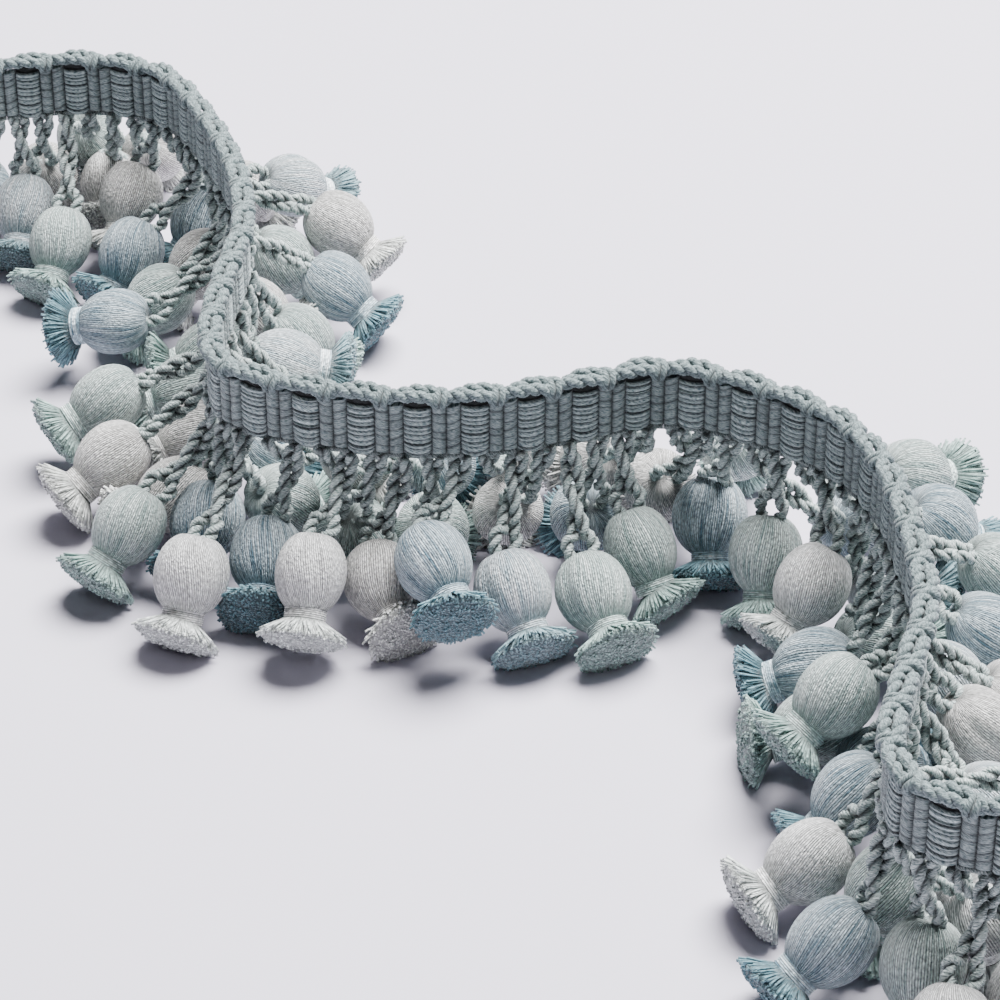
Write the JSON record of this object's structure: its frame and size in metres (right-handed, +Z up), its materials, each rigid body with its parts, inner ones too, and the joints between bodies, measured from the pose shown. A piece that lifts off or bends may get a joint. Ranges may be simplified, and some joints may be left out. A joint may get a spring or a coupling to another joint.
{
  "type": "tassel fringe trim",
  "caption": "Length of woven furnishing trim standing in an S wave, with a corded top edge and a dense fringe of wound ball tassels with cut skirts on twisted loops.",
  "frame": {"origin": "on the table under the middle of the trim's bounding box", "axes": "+Z up from the table, +Y away from the viewer along the longest extent, +X to the viewer's right"},
  "size_m": [0.2643, 0.3526, 0.0513],
  "materials": {
    "heading_yarn": "matte",
    "cord_yarn": "matte",
    "white_yarn": "matte",
    "cream_yarn": "matte",
    "sage_yarn": "matte",
    "pale_yarn": "matte",
    "blue_yarn": "matte"
  },
  "bodies": {
    "root": {"heading": "heading_yarn", "edge_cord": "cord_yarn", "tassel_pair_01": "white_yarn", "tassel_pair_02": "pale_yarn", "tassel_pair_03": "sage_yarn", "tassel_pair_04": "cream_yarn", "tassel_pair_05": "cream_yarn", "tassel_pair_06": "blue_yarn", "tassel_pair_07": "blue_yarn", "tassel_pair_08": "cream_yarn", "tassel_pair_09": "sage_yarn", "tassel_pair_10": "blue_yarn", "tassel_pair_11": "sage_yarn", "tassel_pair_12": "sage_yarn", "tassel_pair_13": "cream_yarn", "tassel_pair_14": "sage_yarn", "tassel_pair_15": "cream_yarn", "tassel_pair_16": "cream_yarn", "tassel_pair_17": "sage_yarn", "tassel_pair_18": "white_yarn", "tassel_pair_19": "blue_yarn", "tassel_pair_20": "white_yarn", "tassel_pair_21": "cream_yarn", "tassel_pair_22": "blue_yarn", "tassel_pair_23": "pale_yarn", "tassel_pair_24": "sage_yarn", "tassel_pair_25": "sage_yarn", "tassel_pair_26": "sage_yarn", "tassel_pair_27": "blue_yarn", "tassel_pair_28": "sage_yarn", "tassel_pair_29": "white_yarn", "tassel_pair_30": "pale_yarn", "tassel_pair_31": "sage_yarn", "tassel_pair_32": "blue_yarn", "tassel_pair_33": "sage_yarn", "tassel_pair_34": "sage_yarn", "tassel_pair_35": "blue_yarn", "tassel_pair_36": "blue_yarn", "tassel_pair_37": "white_yarn", "tassel_pair_38": "sage_yarn", "tassel_pair_39": "blue_yarn", "tassel_pair_40": "sage_yarn", "tassel_pair_41": "white_yarn", "tassel_pair_42": "white_yarn"}
  },
  "joints": []
}
